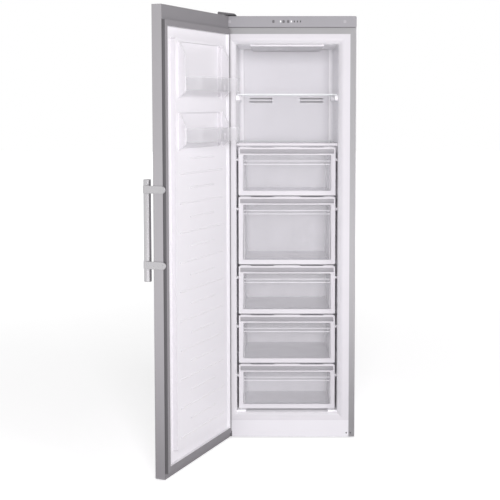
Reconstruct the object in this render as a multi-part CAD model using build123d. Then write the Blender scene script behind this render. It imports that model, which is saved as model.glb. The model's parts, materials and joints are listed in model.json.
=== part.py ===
from build123d import *
import os
from math import cos, hypot, radians, sin, tan

# Upright no-frost freezer, 60 cm class: grey steel cabinet, white liner, five drawers, two open
# compartments on top, one door hinged at the left and drawn open.
# Millimetres. +Z is up, -Y is the front, +X is to the right of someone facing it. The origin is the centre
# of the cabinet's footprint, on the floor.

# ---------------------------------------------------------------- cabinet
cabinet_width = 595.0
cabinet_depth = 590.0
cabinet_top = 1850.0
skirt_z = 10.0              # lower edge of the side panels and the plinth
steel = 1.0                 # sheet thickness
shell_corner_r = 4.0
side_flange = 26.0          # grey front return of each side panel
crossrail_height = 29.0     # grey steel band under the control fascia
seat_gap = 0.3              # between a moving piece and what it rests on
bearing_gap = 0.05          # radial clearance of a pin in its bore
past = 1.0                  # how far a cutting shape passes the face it cuts
weld = 0.5                  # how far joined shapes run into each other

# liner and insulation
side_insulation = 75.0
liner_wall = 2.0
mouth_r = 26.0              # rounded edge of the opening
cavity_floor = 114.0
top_insulation = 117.0
rear_insulation = 59.0
cavity_corner_r = 20.0
recess_inset = 20.5         # pocket behind the air cover, from the side walls
recess_depth = 60.0
recess_floor = 400.0
floor_pad_width = 40.0      # raised ends of the floor under the lowest drawer
floor_pad_start = 32.0
floor_pad_length = 150.0
back_rib_proud = 3.0
back_rib_height = 26.0
back_rib_pitch = 180.0
back_rib_end = 42.0
back_panel_inset = 5.0

# machine compartment
machine_depth = 200.0
machine_height = 230.0
step_insulation = 45.0
step_slope = 30.0           # slope of the cavity's floor up to the step
bottom_panel_z = 60.0
bottom_slope = 40.0
plinth_top_gap = 4.0        # under the rounded edge of the opening

# control fascia
fascia_height = 47.0
fascia_depth = 24.0
fascia_proud = 5.0
fascia_wall = 2.5
fascia_corner_r = 6.0
fascia_edge = 0.8
fascia_seam_x = 28.5        # seam before each end of the fascia
fascia_seam = 0.8
control_rise = 24.0         # row of controls above the fascia's lower edge
button_x = [-59.4, -15.6, 4.0]
button_names = ["alarm_button", "fast_freeze_button", "temperature_button"]
button_width = 9.0
button_height = 12.0
button_proud = 0.8
button_length = 12.0
button_travel = 1.0
button_flange = 1.5
button_corner_share = 0.6   # corner radius over half the width
light_x = [-28.8, 17.2, 30.3, 43.5, 56.6]
light_width = 5.0
light_height = 8.0
light_length = 7.5
board_gap = 15.5            # front plane to the board's front face
board_half = 85.0
board_height = 30.0
board_thickness = 1.6
switch_size = 6.0

# plinth
plinth_thickness = 2.5
plinth_return = 30.0

# ---------------------------------------------------------------- door
door_top_gap = 1.0          # under the hinge plate's level
door_bottom = 16.0
door_thickness = 44.0
door_gap = 14.0             # inner plane of the closed door to the cabinet's front plane
door_corner_r = 5.0
open_angle = 112.5          # drawn position
door_extra_opening = 6.0    # how far it opens beyond that
hinge_inset_x = 18.3
hinge_inset_y = 21.7        # hinge axis behind the door's outer face
hinge_pin_r = 5.0
hinge_bore_depth = 22.0
hinge_boss_r = 12.0
skin_lip = 12.0
cap_plate = 3.0
cap_edge = 1.0
pin_end_gap = 2.0           # beyond a hinge pin, in its bore
top_apron = 57.0
bottom_apron = 24.0
apron_wall = 2.0

# gasket
gasket_inset = 6.0
gasket_side = 16.0
gasket_top = 24.0
gasket_bottom = 26.0
gasket_outer_proud = 11.3

# door liner
pedestal_inset = 67.5       # raised field, from the door's edges
pedestal_bottom = 108.0
pedestal_top_gap = 121.0
pedestal_height = 19.5
pedestal_draft = 3.0
pocket_depth = 13.0
pocket_r = 10.0
rib_pitch = 58.0
rib_height = 9.0
rib_proud = 2.5
rib_end_gap = 34.0
rib_short_share = 0.55
rib_first_z = 158.0
dyke_wall = 12.0
dyke_height = 28.0          # above the pedestal
dyke_top_slope = 63.0
dyke_foot_slope = 26.0
stud_r = 4.0
stud_length = 5.5

# door racks
rack_drops = [324.0, 526.0] # door top down to the racks' floors
rack_names = ["rack_upper", "rack_lower"]
dyke_drops = [125.0, 399.0]
dyke_below_rack = 32.0
rack_height = 55.0
rack_end_gap = 41.0         # from the raised field's edge
rack_front = 110.0          # front of a rack, from the door's inner plane
rack_wall = 2.5
rack_corner_r = 18.0
rack_back_gap = 0.5
rack_draft = 3.0
rack_stud_height = 26.0     # stud centre above the rack's floor

# handle
handle_bar_r = 15.0
handle_bar_bottom = 789.0
handle_bar_length = 396.0
handle_standoff = 32.0      # bar centre to the door's outer face
arm_insets = [66.0, 38.0]   # arm centres from the bar's lower and upper ends
arm_width = 30.0
arm_thickness = 5.0
arm_overhang = 12.0         # rounded end beyond the door's inner plane
arm_boss = 8.0              # depth of the boss that carries the bar
arm_pin_r = 9.0
arm_cap_r = 5.0
arm_cap_proud = 1.0
arm_edge = 1.0
arm_flat = 2.0              # depth of the bar's flat behind an arm
arm_flat_share = 0.7        # its half width over the bar's radius
bar_edge = 1.5

# ---------------------------------------------------------------- drawers and shelves
drawer_heights = [200.0, 214.0, 213.5, 298.0, 211.5]  # lowest first
drawer_gap = 7.0
first_drawer_gap = 14.0     # under the lower shelf, which stands over the drawers
drawer_floor_gap = 6.0
drawer_front_y = 55.0       # front plane of the cabinet to the drawers' fronts
drawer_front_thickness = 18.0
drawer_side_gap = 8.5
drawer_rear_gap = 17.0
drawer_travel = 350.0
low_drawer_travel = 250.0
drawer_corner_r = 5.0
drawer_edge = 1.2
land_height = 3.0           # raised lands on a front's top, with a slot on each side of the middle
land_slot = [58.0, 160.0]
land_end_gap = 8.0
grip_top = 7.0              # bar above the grip recess
grip_height = 20.0
grip_depth = 14.0
grip_margin = 7.0
lip_end_gap = 73.0
lip_height = 2.5
lip_proud = 2.0
lip_edge_share = 0.4
window_top = 33.0
window_bottom = 21.0
window_margin = 19.0
window_rebate = 4.0
window_thickness = 2.5
window_set_back = 10.0
window_rib_drops = [58.0, 73.0]
window_rib_height = 3.0
window_rib_proud = 1.2
tub_inset = 17.0            # from the drawer front's edges
tub_wall = 2.5
tub_draft_angle = 1.5
tub_floor_gap = 6.0
tub_top_drop = 14.0
tub_corner_r = 14.0
tub_slope_share = 0.45      # where the side walls begin to drop, over the tub's length
runner_drop = 50.0          # drawer top to the underside of its runner rim
runner_rim = 15.0
runner_rim_thickness = 3.0
ledge_reach = 18.5
ledge_height = 10.0
ledge_start = 82.0

shelf_side_gap = 3.5
glass = 4.0
shelf_rear_gap = 12.0
upper_shelf_drop = 216.7    # ceiling to the underside of the glass
upper_shelf_start = 40.0
shelf_travel = 300.0
knob_r = 13.0
knob_reach = 14.0
knob_front = 54.0
knob_back_gap = 65.0
lower_shelf_start = 56.0
trim_height = 12.0
trim_depth = 10.0
trim_below = 7.0
trim_front = 2.0            # before the glass
shelf_ledge_height = 8.0

# ceiling duct and air cover
duct_side_gap = 61.5
duct_start = 40.0
duct_drop = 8.0
duct_end_gap = 8.0
duct_edge_r = 3.0
cover_thickness = 3.0
cover_side_gap = 0.5
cover_foot_gap = 10.0
cover_edge_r = 1.8
duct_port_inset = 12.0      # passage behind the duct, from its ends
slot_inner = 66.0
slot_end_gap = 28.0
slot_height = 7.5
slot_pitch = 15.0
slot_first_drop = 237.5
slot_level_pitch = 235.5
slot_last_z = 520.0

# ---------------------------------------------------------------- refrigeration
evaporator_end_gap = 23.0
evaporator_floor = 440.0
evaporator_height = 360.0
evaporator_gap = 10.0
evaporator_depth = 42.0
fin_pitch = 20.0
fin_thickness = 3.0
fin_cut_depth = 34.0
return_bend_r = 14.0
evaporator_tube_r = 4.0
return_bends = 3
fan_z = 960.0
fan_r = 52.0
fan_hub_r = 17.0
fan_depth = 18.0
fan_blades = 5
fan_blade_thickness = 1.6
fan_blade_pitch = 32.0
fan_blade_chord = 26.0
fan_front_gap = 9.0
fan_shaft_r = 2.5
fan_motor_r = 26.0
fan_motor_length = 20.0
fan_motor_gap = 3.0
fan_arm_lift = 2.0
fan_arm_heel = 4.0
fan_arm_width = 12.0
fan_arm_thickness = 3.0
fan_arm_reach = 62.0
heater_r = 4.0
heater_end_gap = 28.0
heater_rise = 20.0
drain_r = 7.0
drain_bore_r = 5.0
drain_x = 60.0
drain_end_gap = 8.0
compressor_x = 60.0
compressor_r = 72.0
compressor_dome_r = 26.0
compressor_seam_r = 77.0
compressor_seam_height = 5.0
compressor_seam_share = 0.52    # height of the seam up the pot
compressor_foot = 4.0
compressor_foot_half_x = 95.0
compressor_foot_half_y = 55.0
compressor_offset = 4.0     # before the middle of its compartment
mount_r = 12.0
mount_height = 14.0
terminal_box_size = 44.0
terminal_box_reach = 24.0
terminal_box_root = 8.0
terminal_box_edge = 4.0
terminal_box_share = 0.2    # height of its foot up the pot
drip_tray_half_x = 80.0
drip_tray_half_y = 62.0
drip_tray_height = 20.0
drip_tray_headroom = 20.5    # over the pan, up to the compartment's ceiling
drip_tray_wall = 2.0
drip_tray_corner_r = 12.0
pipe_r = 3.5
pipe_offset = 20.0
pipe_share = 0.35           # height of the pipes' ends up the pot
pipe_bend_r = 16.0
suction_reach = 40.0
discharge_reach = 115.0
drier_reach = 75.0
drier_r = 9.0
drier_length = 84.0
drier_neck = 14.0

tray_z = 30.0
tray_sheet = 1.5
tray_upstand = 12.0
roller_r = 15.0
roller_width = 22.0
roller_inset = 52.5
roller_from_back = 62.0
roller_side_gap = 1.0
roller_edge = 1.5
roller_room = 3.0           # around a roller in the tray
cheek = 2.0
cheek_half = 13.0
cheek_drop = 3.0            # below the axle
axle_r = 4.0
foot_r = 19.0
foot_height = 8.0
foot_edge = 1.5
foot_inset = 57.5
foot_setback = 75.0
foot_stem_r = 5.0
foot_stem_top = 56.0
foot_hex = 17.0
foot_hex_height = 6.0
foot_boss_r = 11.0
foot_boss_bottom = 30.0
foot_boss_top_gap = 2.0

# inlet for the mains lead
inlet_inset = 82.5
inlet_width = 46.0
inlet_depth = 34.0
inlet_height = 44.0
inlet_corner_r = 3.0
gland_r = 9.0
gland_bore_r = 4.0
gland_length = 18.0
gland_ring = 2.0
gland_share = 0.62          # height of the gland up the box
bore_share = 0.6            # depth of the bore into the box

# hinges
hinge_plate = 3.0
upper_plate_half_x = 33.0
upper_plate_back = 70.0
hinge_nose_r = 13.0
cover_left_height = 16.0
cover_right_height = 8.0
cover_length_x = 79.0
cover_front = 38.0
cover_back = 80.0
cover_wall = 2.0
cover_toe = 8.0
cover_heel = 3.0
lower_tongue_z = 12.0
lower_plate_top = 36.0
lower_plate_width = 50.0
washer_r = 9.0

# ---------------------------------------------------------------- derived places
y_front = -cabinet_depth / 2
y_back = cabinet_depth / 2
half = cabinet_width / 2
inner_half = half - steel
cavity_half = half - side_insulation - steel
rail_top = cabinet_top - fascia_height
rail_bottom = rail_top - crossrail_height
flange_half = half - side_flange
plinth_top = cavity_floor - mouth_r - plinth_top_gap
back_panel_y = y_back - back_panel_inset - steel
machine_front = y_back - machine_depth
recess_back = back_panel_y - rear_insulation
cover_y = recess_back - recess_depth
cavity_ceiling = cabinet_top - top_insulation - liner_wall
recess_half = cavity_half - recess_inset
step_top = machine_height + steel + step_insulation
low_cavity_back = machine_front - steel - step_insulation
control_z = rail_top + control_rise

upper_shelf_z = cavity_ceiling - upper_shelf_drop
knob_y = [y_front + knob_front, cover_y - knob_back_gap]
shelf_half = cavity_half - shelf_side_gap
duct_half = cavity_half - duct_side_gap
slot_outer = recess_half - slot_end_gap
slot_first_z = cavity_ceiling - slot_first_drop
slot_levels = int((slot_first_z - slot_last_z) / slot_level_pitch) + 1

drawer_half = cavity_half - drawer_side_gap
tub_half = drawer_half - tub_inset
drawer_bottoms = [cavity_floor + drawer_floor_gap]
for height in drawer_heights[:-1]:
    drawer_bottoms.insert(0, drawer_bottoms[0] + height + drawer_gap)
drawer_tops = [z + height for z, height in zip(drawer_bottoms, reversed(drawer_heights))]
lower_shelf_z = drawer_tops[0] + first_drawer_gap

evaporator_half = recess_half - evaporator_end_gap
heater_half = evaporator_half - heater_end_gap
roller_x = half - roller_inset
foot_x = half - foot_inset
inlet_x = inlet_inset - half

door_top = cabinet_top - door_top_gap
pedestal_half = half - pedestal_inset
pedestal_top = door_top - pedestal_top_gap
rack_half = pedestal_half - rack_end_gap
rack_bottoms = [door_top - drop for drop in rack_drops]
dyke_tops = [door_top - drop for drop in dyke_drops]
rib_long_half = pedestal_half - rib_end_gap
rib_short_half = rib_long_half * rib_short_share
rib_count = int((rack_bottoms[-1] - dyke_below_rack - rib_first_z - rib_height) / rib_pitch) + 1
arm_heights = [handle_bar_bottom + arm_insets[0], handle_bar_bottom + handle_bar_length - arm_insets[1]]
door_inner_y = y_front - door_gap
door_outer_y = door_inner_y - door_thickness
hinge_x = -half + hinge_inset_x
hinge_y = door_outer_y + hinge_inset_y
hinge_axis = Axis((hinge_x, hinge_y, 0), (0, 0, -1))
skin_top = door_top - cap_plate
skin_bottom = door_bottom + cap_plate
gasket_proud = door_gap - seat_gap
liner_edge = half - steel - seat_gap

tray_top = tray_z + tray_sheet
compressor_y = y_back - machine_depth / 2 - compressor_offset
compressor_floor = tray_top + mount_height
compressor_top = machine_height - drip_tray_headroom - drip_tray_height
compressor_height = compressor_top - compressor_floor - compressor_foot
roller_y = y_back - roller_from_back
foot_y = y_front + foot_setback


# ---------------------------------------------------------------- helpers
def block(x0, x1, y0, y1, z0, z1):
    """Axis-aligned box between two corners."""
    return Pos(x0, y0, z0) * Box(x1 - x0, y1 - y0, z1 - z0, align=(Align.MIN, Align.MIN, Align.MIN))


def post(x, y, z0, z1, r):
    """Upright cylinder."""
    return Pos(x, y, z0) * Cylinder(r, z1 - z0, align=(Align.CENTER, Align.CENTER, Align.MIN))


def rod_x(x0, x1, y, z, r):
    """Cylinder along X."""
    return Pos((x0 + x1) / 2, y, z) * Rot(0, 90, 0) * Cylinder(r, abs(x1 - x0))


def rod_y(x, y0, y1, z, r):
    """Cylinder along Y."""
    return Pos(x, (y0 + y1) / 2, z) * Rot(90, 0, 0) * Cylinder(r, abs(y1 - y0))


def prism_x(points, x0, x1):
    """Polygon given as (y, z) points, extruded along X."""
    face = Plane.YZ * make_face(Polyline(*points, close=True))
    return Pos(x0, 0, 0) * extrude(face, x1 - x0)


def prism_y(points, y0, y1):
    """Polygon given as (x, z) points, extruded along Y."""
    face = make_face(Polyline(*[(x, 0, z) for x, z in points], close=True))
    return Pos(0, y0, 0) * extrude(face, y1 - y0, dir=(0, 1, 0))


def folded(points, thickness):
    """Outline of a folded sheet: the (y, z) points and the same points offset to their left."""
    offset = []
    for i, (y, z) in enumerate(points):
        before = points[max(i - 1, 0)]
        after = points[min(i + 1, len(points) - 1)]
        into = (y - before[0], z - before[1]) if i else (after[0] - y, after[1] - z)
        out = (after[0] - y, after[1] - z) if i < len(points) - 1 else into
        a = (-into[1] / hypot(*into), into[0] / hypot(*into))
        b = (-out[1] / hypot(*out), out[0] / hypot(*out))
        spread = 1 + a[0] * b[0] + a[1] * b[1]
        offset.append((y + thickness * (a[0] + b[0]) / spread, z + thickness * (a[1] + b[1]) / spread))
    return points + offset[::-1]


def edges_at(shape, axis, **where):
    """Edges parallel to an axis whose centre has the given coordinates."""
    found = shape.edges().filter_by(axis)
    for letter, value in where.items():
        found = [e for e in found if abs(getattr(e.center(), letter) - value) < 0.01]
    return ShapeList(found)


def opened(shape):
    """Turns a piece of the closed door to the door's drawn position."""
    return shape.rotate(hinge_axis, open_angle)


def save(name, shape):
    """Writes one sub-part."""
    solids = shape.solids()
    shape = solids[0] if len(solids) == 1 else Compound(children=list(solids))
    shape.label = name
    export_step(shape, f"parts/{name}.step")


# ---------------------------------------------------------------- cabinet shell
def shell_room(y0, y1, z0):
    """Space inside the shell's wrap, with its rounded top corners."""
    room = block(-inner_half, inner_half, y0, y1, z0, cabinet_top - steel)
    return fillet(edges_at(room, Axis.Y, Z=cabinet_top - steel), shell_corner_r - steel)


def cabinet_shell():
    """Side and top sheets in one wrap, with the grey front frame."""
    outer = block(-half, half, y_front, y_back, skirt_z, cabinet_top)
    outer = fillet(edges_at(outer, Axis.Y, Z=cabinet_top), shell_corner_r)
    outer = fillet(edges_at(outer, Axis.Z, Y=y_front), shell_corner_r / 2)
    inside = shell_room(y_front + steel, y_back + steel, 0)
    window = block(-flange_half, flange_half, y_front - steel, y_front + 2 * steel, 0, rail_bottom)
    notch = block(-half, half, y_front - steel, y_front + fascia_depth, rail_top, cabinet_top + steel)
    return outer - inside - window - notch


def back_panel():
    """Rear sheet over the insulation, stiffened by pressed ribs."""
    z0 = machine_height + steel
    z1 = cabinet_top - steel
    panel = shell_room(back_panel_y, back_panel_y + steel, z0)
    rib = prism_x(
        [
            (back_panel_y + steel, -back_rib_height / 2),
            (back_panel_y + steel + back_rib_proud, -back_rib_height / 2 + back_rib_proud * 2),
            (back_panel_y + steel + back_rib_proud, back_rib_height / 2 - back_rib_proud * 2),
            (back_panel_y + steel, back_rib_height / 2),
        ],
        -inner_half + back_rib_end,
        inner_half - back_rib_end,
    )
    middle = (z0 + z1) / 2
    count = int((z1 - z0 - back_rib_pitch) / back_rib_pitch) + 1
    for i in range(count):
        panel += Pos(0, 0, middle + (i - (count - 1) / 2) * back_rib_pitch) * rib
    return panel


def floor_path():
    """Underside of the insulation, from the plinth over the machine compartment to the back."""
    return [
        (y_front + plinth_thickness, bottom_panel_z),
        (machine_front - bottom_slope, bottom_panel_z),
        (machine_front, bottom_panel_z + bottom_slope),
        (machine_front, machine_height),
        (back_panel_y, machine_height),
    ]


def bottom_panel():
    """Folded floor sheet with the two threaded bosses of the front feet."""
    sheet = prism_x(folded(floor_path(), steel), -inner_half, inner_half)
    for x in (-foot_x, foot_x):
        sheet += post(x, foot_y, foot_boss_bottom, bottom_panel_z + steel / 2, foot_boss_r)
        sheet -= post(x, foot_y, 0, foot_stem_top + foot_boss_top_gap, foot_stem_r + bearing_gap)
    return sheet - post(drain_x, cover_y + recess_depth / 2, 0, cabinet_top, drain_r + seat_gap)


def hollow(grow):
    """Space inside the liner, grown by a wall: mouth, storage space and the pocket behind the air cover."""
    w = cavity_half + grow
    z0 = cavity_floor - grow
    z1 = cavity_ceiling + grow
    frame = block(-half, half, y_front + grow, y_front + 2 * mouth_r, 0, cabinet_top)
    frame -= block(-w, w, y_front - grow, y_front + 3 * mouth_r, z0, z1)
    rim = [e for e in frame.edges() if abs(e.center().Y - y_front - grow) < 0.01]
    rim = [e for e in rim if abs(e.center().X) < w + past and z0 - past < e.center().Z < z1 + past]
    frame = fillet(ShapeList(rim), mouth_r - grow)
    mouth = block(-half, half, y_front - liner_wall, y_front + 2 * mouth_r, 0, cabinet_top) - frame
    front_slab = block(-half, half, y_front - 2 * liner_wall, y_front + grow, 0, cabinet_top)
    mouth -= front_slab
    space = prism_x(
        [
            (y_front + mouth_r, z0),
            (low_cavity_back + grow, z0),
            (low_cavity_back + grow, step_top - grow),
            (low_cavity_back + grow + step_slope, step_top + step_slope - grow),
            (cover_y + grow, step_top + step_slope - grow),
            (cover_y + grow, z1),
            (y_front + mouth_r, z1),
        ],
        -w,
        w,
    )
    space = fillet(edges_at(space, Axis.Z, Y=cover_y + grow), cavity_corner_r)
    pocket = block(
        -recess_half - grow, recess_half + grow, cover_y - past, recess_back + grow, recess_floor - grow, z1
    )
    return mouth + space + pocket


def inner_liner():
    """White moulded liner with its front flange, shelf knobs and the ledges that carry the drawers."""
    flange = block(
        -flange_half, flange_half, y_front, y_front + liner_wall, plinth_top, rail_bottom
    )
    liner = flange + hollow(liner_wall)
    inside = hollow(0)
    opening = block(
        -cavity_half - mouth_r,
        cavity_half + mouth_r,
        y_front - past,
        y_front + liner_wall,
        cavity_floor - mouth_r,
        cavity_ceiling + mouth_r,
    )
    liner = liner - inside - (opening & inside)
    drain_y = cover_y + recess_depth / 2
    liner -= post(drain_x, drain_y, recess_floor - 3 * liner_wall, recess_floor + past, drain_bore_r)
    for side in (-1, 1):
        wall = side * (cavity_half + liner_wall / 2)
        for y in knob_y:
            inner = side * (cavity_half - knob_reach)
            z = upper_shelf_z - seat_gap - knob_r
            liner += rod_x(wall, inner, y, z, knob_r)
        pad = sorted((wall, side * (cavity_half - floor_pad_width)))
        pad_y = y_front + floor_pad_start
        pad_top = cavity_floor + drawer_floor_gap - seat_gap
        liner += block(
            pad[0], pad[1], pad_y, pad_y + floor_pad_length, cavity_floor - liner_wall / 2, pad_top
        )
        ends = [cover_y - cavity_corner_r] * len(drawer_tops) + [low_cavity_back - cavity_corner_r]
        tops = [lower_shelf_z - seat_gap] + [t - runner_drop - seat_gap for t in drawer_tops]
        heights = [shelf_ledge_height] + [ledge_height] * len(drawer_tops)
        for end, top, height in zip(ends, tops, heights):
            reach = side * (cavity_half - (ledge_reach if height == ledge_height else ledge_reach / 2))
            xs = sorted((wall, reach))
            liner += block(xs[0], xs[1], y_front + ledge_start, end, top - height, top)
    return liner


def cabinet_foam():
    """Insulation between the shell and the liner."""
    body = shell_room(y_front + liner_wall, back_panel_y, bottom_panel_z)
    upper_side = folded(floor_path(), steel)[len(floor_path()):][::-1]
    below = [(y_back, machine_height), (y_back, 0), (y_front, 0), (y_front, bottom_panel_z + steel)]
    under = prism_x(upper_side + below, -half, half)
    notch = block(-half, half, y_front, y_front + fascia_depth, rail_top, cabinet_top)
    plinth_room = block(-half, half, y_front, y_front + plinth_return, 0, plinth_top)
    body = body - under - notch - plinth_room - hollow(liner_wall)
    return body - post(drain_x, cover_y + recess_depth / 2, machine_height - past, recess_floor, drain_r)


def air_cover():
    """Panel in front of the evaporator, with pairs of outlet slots at each level."""
    w = recess_half - cover_side_gap
    z0 = step_top + step_slope + cover_foot_gap
    z1 = cavity_ceiling - cover_side_gap
    cover = block(-w, w, cover_y - cover_thickness, cover_y, z0, z1)
    cover = fillet(edges_at(cover, Axis.Z, Y=cover_y - cover_thickness), cover_edge_r)
    port = duct_half - duct_port_inset
    cover -= block(-port, port, cover_y - 2 * cover_thickness, cover_y + past, z1 - duct_drop, z1 + past)
    for level in range(slot_levels):
        for row in (-0.5, 0.5):
            z = slot_first_z - level * slot_level_pitch + row * slot_pitch
            for side in (-1, 1):
                xs = sorted((side * slot_inner, side * slot_outer))
                cover -= block(
                    xs[0], xs[1], cover_y - 2 * cover_thickness, cover_y + past,
                    z - slot_height / 2, z + slot_height / 2,
                )
    return cover


def ceiling_duct():
    """Flat outlet duct under the ceiling."""
    duct = block(
        -duct_half, duct_half, y_front + duct_start, cover_y - duct_end_gap,
        cavity_ceiling - duct_drop, cavity_ceiling,
    )
    lower = duct.edges().group_by(Axis.Z)[0]
    return fillet(lower, duct_edge_r)


# ---------------------------------------------------------------- fascia and controls
def control_fascia():
    """Hollow front moulding with holes for the buttons and the lights."""
    y0 = y_front - fascia_proud
    y1 = y_front + fascia_depth
    body = block(-half, half, y0, y1, rail_top, cabinet_top)
    body = fillet(edges_at(body, Axis.Y, Z=cabinet_top), fascia_corner_r)
    body = chamfer(body.edges().group_by(Axis.Y)[0], fascia_edge)
    body -= block(
        -half + fascia_wall, half - fascia_wall, y0 + fascia_wall, y1 + past,
        rail_top + fascia_wall, cabinet_top - fascia_wall,
    )
    for x in (-half + fascia_seam_x, half - fascia_seam_x):
        body -= block(x, x + fascia_seam, y0 - past, y0 + fascia_seam, rail_top - past, cabinet_top + past)
    for x in button_x:
        body -= rounded_post(x, y0 - past, y0 + 2 * fascia_wall, seat_gap)
    for x in light_x:
        body -= block(
            x - light_width / 2, x + light_width / 2, y0 - past, y0 + 2 * fascia_wall,
            control_z - light_height / 2, control_z + light_height / 2,
        )
    return body


def rounded_post(x, y0, y1, grow):
    """Button outline, grown by a clearance, along Y."""
    w = button_width / 2 + grow
    h = button_height / 2 + grow
    bar = block(x - w, x + w, y0, y1, control_z - h, control_z + h)
    return fillet(bar.edges().filter_by(Axis.Y), w * button_corner_share)


def push_button(x):
    """Push cap with the collar that holds it behind the fascia."""
    y0 = y_front - fascia_proud - button_proud
    cap = rounded_post(x, y0, y0 + button_length, 0)
    collar_y = y_front - fascia_proud + fascia_wall + seat_gap
    return cap + rounded_post(x, collar_y, collar_y + button_flange, button_flange)


def indicator_lights():
    """Row of light pipes, flush with the fascia."""
    y0 = y_front - fascia_proud
    pipes = [
        block(
            x - light_width / 2, x + light_width / 2, y0, y0 + light_length,
            control_z - light_height / 2, control_z + light_height / 2,
        )
        for x in light_x
    ]
    return Compound(children=pipes)


def control_board():
    """Circuit board behind the fascia, with a switch behind each button and posts to the fascia's walls."""
    y0 = y_front + board_gap
    board = block(
        -board_half, board_half, y0, y0 + board_thickness,
        control_z - board_height / 2, control_z + board_height / 2,
    )
    button_end = y_front - fascia_proud - button_proud + button_length
    for x in button_x:
        board += block(
            x - switch_size / 2, x + switch_size / 2, button_end + button_travel + seat_gap, y0,
            control_z - switch_size / 2, control_z + switch_size / 2,
        )
    for x in (-board_half + switch_size, board_half - switch_size):
        board += block(
            x - switch_size / 2, x + switch_size / 2, y0, y0 + board_thickness,
            rail_top + fascia_wall, cabinet_top - fascia_wall,
        )
    return board


def plinth():
    """White front cover below the liner's flange, with returns under the floor."""
    shape = block(-flange_half, flange_half, y_front, y_front + plinth_thickness, skirt_z, plinth_top)
    shape += block(
        -flange_half, flange_half, y_front, y_front + plinth_return, plinth_top - plinth_thickness, plinth_top
    )
    for x in (-flange_half, flange_half - plinth_thickness):
        shape += block(x, x + plinth_thickness, y_front, y_front + plinth_return, skirt_z, bottom_panel_z)
    return shape


# ---------------------------------------------------------------- drawers and shelves
def drawer_front(top, bottom):
    """White frame: lands on its top, the grip recess across it, a lip and the window opening below."""
    y0 = y_front + drawer_front_y
    y1 = y0 + drawer_front_thickness
    frame = block(-drawer_half, drawer_half, y0, y1, bottom, top)
    frame = fillet(frame.edges().filter_by(Axis.Y), drawer_corner_r)
    frame = chamfer(frame.edges().group_by(Axis.Y)[0], drawer_edge)
    land_end = drawer_half - land_end_gap
    for x0, x1 in ((-land_end, -land_slot[1]), (-land_slot[0], land_slot[0]), (land_slot[1], land_end)):
        frame += block(x0, x1, y0 + drawer_edge, y1, top - weld, top + land_height)
    grip_half = drawer_half - grip_margin
    lip_z = top - grip_top - grip_height
    recess = [
        (y0 - past, top - grip_top), (y0, top - grip_top), (y0 + grip_depth, lip_z), (y0 - past, lip_z),
    ]
    frame -= prism_x(recess, -grip_half, grip_half)
    lip_half = drawer_half - lip_end_gap
    lip = block(-lip_half, lip_half, y0 - lip_proud, y0 + grip_depth / 2, lip_z - lip_height, lip_z)
    frame += fillet(lip.edges().filter_by(Axis.X).group_by(Axis.Y)[0], lip_height * lip_edge_share)
    w = drawer_half - window_margin
    z0 = bottom + window_bottom
    z1 = top - window_top
    pane = block(-w, w, y0 - past, y1 + past, z0, z1)
    frame -= fillet(pane.edges().filter_by(Axis.Y), drawer_corner_r)
    r = window_rebate
    return frame - block(-w - r, w + r, y0 + window_set_back, y1 + past, z0 - r, z1 + r)


def drawer_window(top, bottom):
    """Clear pane in the frame's rebate, with two moulded lines across its top."""
    y0 = y_front + drawer_front_y + window_set_back
    w = drawer_half - window_margin
    r = window_rebate - seat_gap
    pane = block(
        -w - r, w + r, y0, y0 + window_thickness, bottom + window_bottom - r, top - window_top + r
    )
    for drop in window_rib_drops:
        z = top - drop
        pane += block(-w + r, w - r, y0 - window_rib_proud, y0, z - window_rib_height, z)
    return pane


def drawer_tub(top, bottom, rear):
    """Open tub behind the front: drafted walls, lower at the rear, with a runner rim on each side."""
    y0 = y_front + drawer_front_y + drawer_front_thickness
    floor = bottom + tub_floor_gap
    wall_top = top - tub_top_drop
    rise = wall_top - floor
    shrink = rise * tan(radians(tub_draft_angle))

    def shell(inset, lift):
        """Drafted solid that runs on past the front's plane."""
        foot = 2 * (tub_half - shrink - inset)
        length = rear - y0 - inset + 2 * tub_corner_r
        outline = RectangleRounded(foot, length, tub_corner_r - inset)
        profile = Pos(0, rear - inset - length / 2, floor + lift) * outline
        return extrude(profile, rise - lift, taper=-tub_draft_angle)

    tub = shell(0, 0) - shell(tub_wall, tub_wall)
    tub &= block(-drawer_half, drawer_half, y0, y_back, bottom, wall_top)
    rim_z = top - runner_drop
    rim_top = rim_z + runner_rim_thickness
    drop = [
        (y0 + (rear - y0) * tub_slope_share, wall_top + past), (rear - tub_corner_r, rim_top),
        (y_back, rim_top), (y_back, wall_top + past),
    ]
    tub -= prism_x(drop, -drawer_half, drawer_half)
    inner = tub_half - (wall_top - rim_z) * tan(radians(tub_draft_angle)) - tub_wall / 2
    for side in (-1, 1):
        xs = sorted((side * inner, side * (tub_half + runner_rim)))
        tub += block(xs[0], xs[1], y0, rear - tub_corner_r, rim_z, rim_top)
    return tub


def glass_shelf(z, start):
    """Plain sheet of glass."""
    sheet = block(
        -shelf_half, shelf_half, y_front + start, cover_y - shelf_rear_gap, z, z + glass
    )
    return fillet(sheet.edges().filter_by(Axis.Z), glass)


def lower_shelf_trim():
    """White bar along the lower shelf's front edge, slotted over the glass."""
    y0 = y_front + lower_shelf_start
    z0 = lower_shelf_z - trim_below
    bar = block(-shelf_half, shelf_half, y0 - trim_front, y0 + trim_depth, z0, z0 + trim_height)
    bar = fillet(bar.edges().filter_by(Axis.X).group_by(Axis.Y)[0], trim_front)
    return bar - glass_shelf(lower_shelf_z, lower_shelf_start)


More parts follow.
